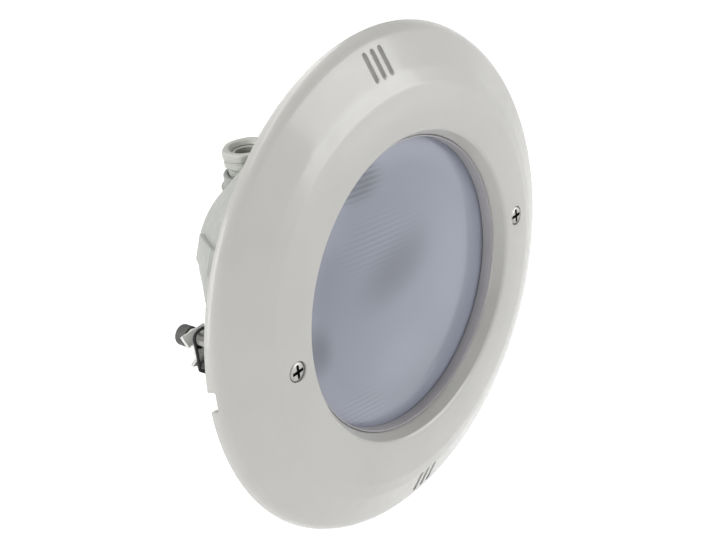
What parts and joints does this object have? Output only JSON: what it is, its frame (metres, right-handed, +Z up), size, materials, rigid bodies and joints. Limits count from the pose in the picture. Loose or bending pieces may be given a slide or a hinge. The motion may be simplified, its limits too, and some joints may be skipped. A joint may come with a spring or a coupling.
{
  "type": "underwater pool light",
  "caption": "Round flush underwater light: white trim ring, recessed ribbed lens, rear bowl with cable gland, and long face screws whose claws swing out behind the wall.",
  "frame": {"origin": "on the lamp axis, in the plane of the trim ring's rear rim, which is the face of the wall", "axes": "+Y along the lamp axis into the wall, so the light shines towards -Y; +Z up through the vent slots and the cable gland; +X to the right seen from the front"},
  "size_m": [0.2834, 0.1448, 0.2844],
  "materials": {
    "trim_white": "satin moulded ABS",
    "bowl_white": "satin moulded ABS",
    "gland_white": "satin moulded ABS",
    "grey_rubber": "matt",
    "black_rubber": "matt",
    "lens_glass": "ribbed on its inner face",
    "reflector_mirror": "aluminised",
    "capsule_glass": "clear",
    "ceramic": "unglazed ceramic",
    "brass_terminal": "plain",
    "lead_sleeving": "heat-resistant sleeving",
    "nut_grey": "glass-filled nylon",
    "stainless_steel": "bright rolled stainless"
  },
  "bodies": {
    "housing": {"trim_ring": "trim_white", "lens_gasket": "grey_rubber", "lamp_lens": "lens_glass", "lamp_reflector": "reflector_mirror", "halogen_capsule": "capsule_glass", "lamp_base": "ceramic", "lamp_terminal_left": "brass_terminal", "lamp_terminal_right": "brass_terminal", "lamp_lead_left": "lead_sleeving", "lamp_lead_right": "lead_sleeving", "terminal_block": "ceramic", "block_screw_left": "brass_terminal", "block_screw_right": "brass_terminal", "housing_bowl": "bowl_white", "housing_seal": "black_rubber", "flange_screw_1": "stainless_steel", "flange_screw_2": "stainless_steel", "flange_screw_3": "stainless_steel", "flange_screw_4": "stainless_steel", "flange_screw_5": "stainless_steel", "flange_screw_6": "stainless_steel", "gland_sleeve": "gland_white", "gland_seal": "black_rubber", "screw_washer_left": "black_rubber", "screw_washer_right": "black_rubber"},
    "gland_press": {"gland_thrust_ring": "gland_white"},
    "gland_cap": {"gland_nut": "gland_white"},
    "left_screw": {"face_screw_left": "stainless_steel", "screw_clip_left": "stainless_steel"},
    "left_nut": {"claw_nut_left": "nut_grey"},
    "left_claw": {"claw_left": "stainless_steel", "claw_band_left": "black_rubber", "claw_pad_left": "grey_rubber"},
    "right_screw": {"face_screw_right": "stainless_steel", "screw_clip_right": "stainless_steel"},
    "right_nut": {"claw_nut_right": "nut_grey"},
    "right_claw": {"claw_right": "stainless_steel", "claw_band_right": "black_rubber", "claw_pad_right": "grey_rubber"}
  },
  "joints": [
    {"name": "left_screw_turn", "type": "hinge", "parent": "housing", "child": "left_screw", "pos_m": [-0.0987, 0, 0], "axis": [0, 1, 0], "range_deg": [0, 7200]},
    {"name": "left_nut_travel", "type": "slide", "parent": "housing", "child": "left_nut", "axis": [0, -1, 0], "range_m": [0, 0.0201]},
    {"name": "left_claw_swing", "type": "hinge", "parent": "left_nut", "child": "left_claw", "pos_m": [-0.0987, 0.049, 0], "axis": [0, 1, 0], "range_deg": [0, 90]},
    {"name": "right_screw_turn", "type": "hinge", "parent": "housing", "child": "right_screw", "pos_m": [0.0987, 0, 0], "axis": [0, 1, 0], "range_deg": [0, 7200]},
    {"name": "right_nut_travel", "type": "slide", "parent": "housing", "child": "right_nut", "axis": [0, -1, 0], "range_m": [0, 0.0201]},
    {"name": "right_claw_swing", "type": "hinge", "parent": "right_nut", "child": "right_claw", "pos_m": [0.0987, 0.049, 0], "axis": [0, 1, 0], "range_deg": [0, 90]},
    {"name": "gland_ring_travel", "type": "slide", "parent": "housing", "child": "gland_press", "axis": [0, 0, -1], "range_m": [0, 0.00301], "deforming": ["gland_seal"]},
    {"name": "gland_nut_turn", "type": "hinge", "parent": "gland_press", "child": "gland_cap", "pos_m": [0, 0.0925, 0.06], "axis": [0, 0, -1], "range_deg": [0, 720]}
  ],
  "couplings": [
    {"joint": "left_nut_travel", "follows": "left_screw_turn", "m_per_rad": 0.00015915},
    {"joint": "right_nut_travel", "follows": "right_screw_turn", "m_per_rad": 0.00015915},
    {"joint": "gland_ring_travel", "follows": "gland_nut_turn", "m_per_rad": 0.00023873}
  ]
}
